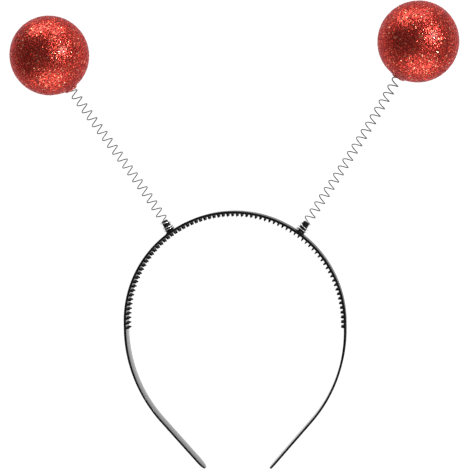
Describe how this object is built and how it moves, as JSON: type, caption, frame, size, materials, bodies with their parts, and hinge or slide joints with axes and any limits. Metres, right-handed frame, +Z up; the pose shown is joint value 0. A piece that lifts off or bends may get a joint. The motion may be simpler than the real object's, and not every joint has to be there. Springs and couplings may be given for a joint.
{
  "type": "head bopper",
  "caption": "Head bopper: a thin black plastic comb headband with a red glitter ball on a coil spring at each side, lying on its side.",
  "frame": {"origin": "bottom centre of the whole part's bounding box, on the floor it lies on", "axes": "+Y from the tips of the band to its crown, +X to the right seen from above, +Z up from the floor, along the width of the band"},
  "size_m": [0.2488, 0.262, 0.0442],
  "materials": {
    "band_plastic": "moulded black plastic, glossy",
    "spring_steel": "drawn spring wire, bright",
    "red_glitter": "dense red metallic glitter in clear glue"
  },
  "bodies": {
    "root": {"headband": "band_plastic", "spring_left": "spring_steel", "ball_left": "red_glitter", "spring_right": "spring_steel", "ball_right": "red_glitter"}
  },
  "joints": []
}
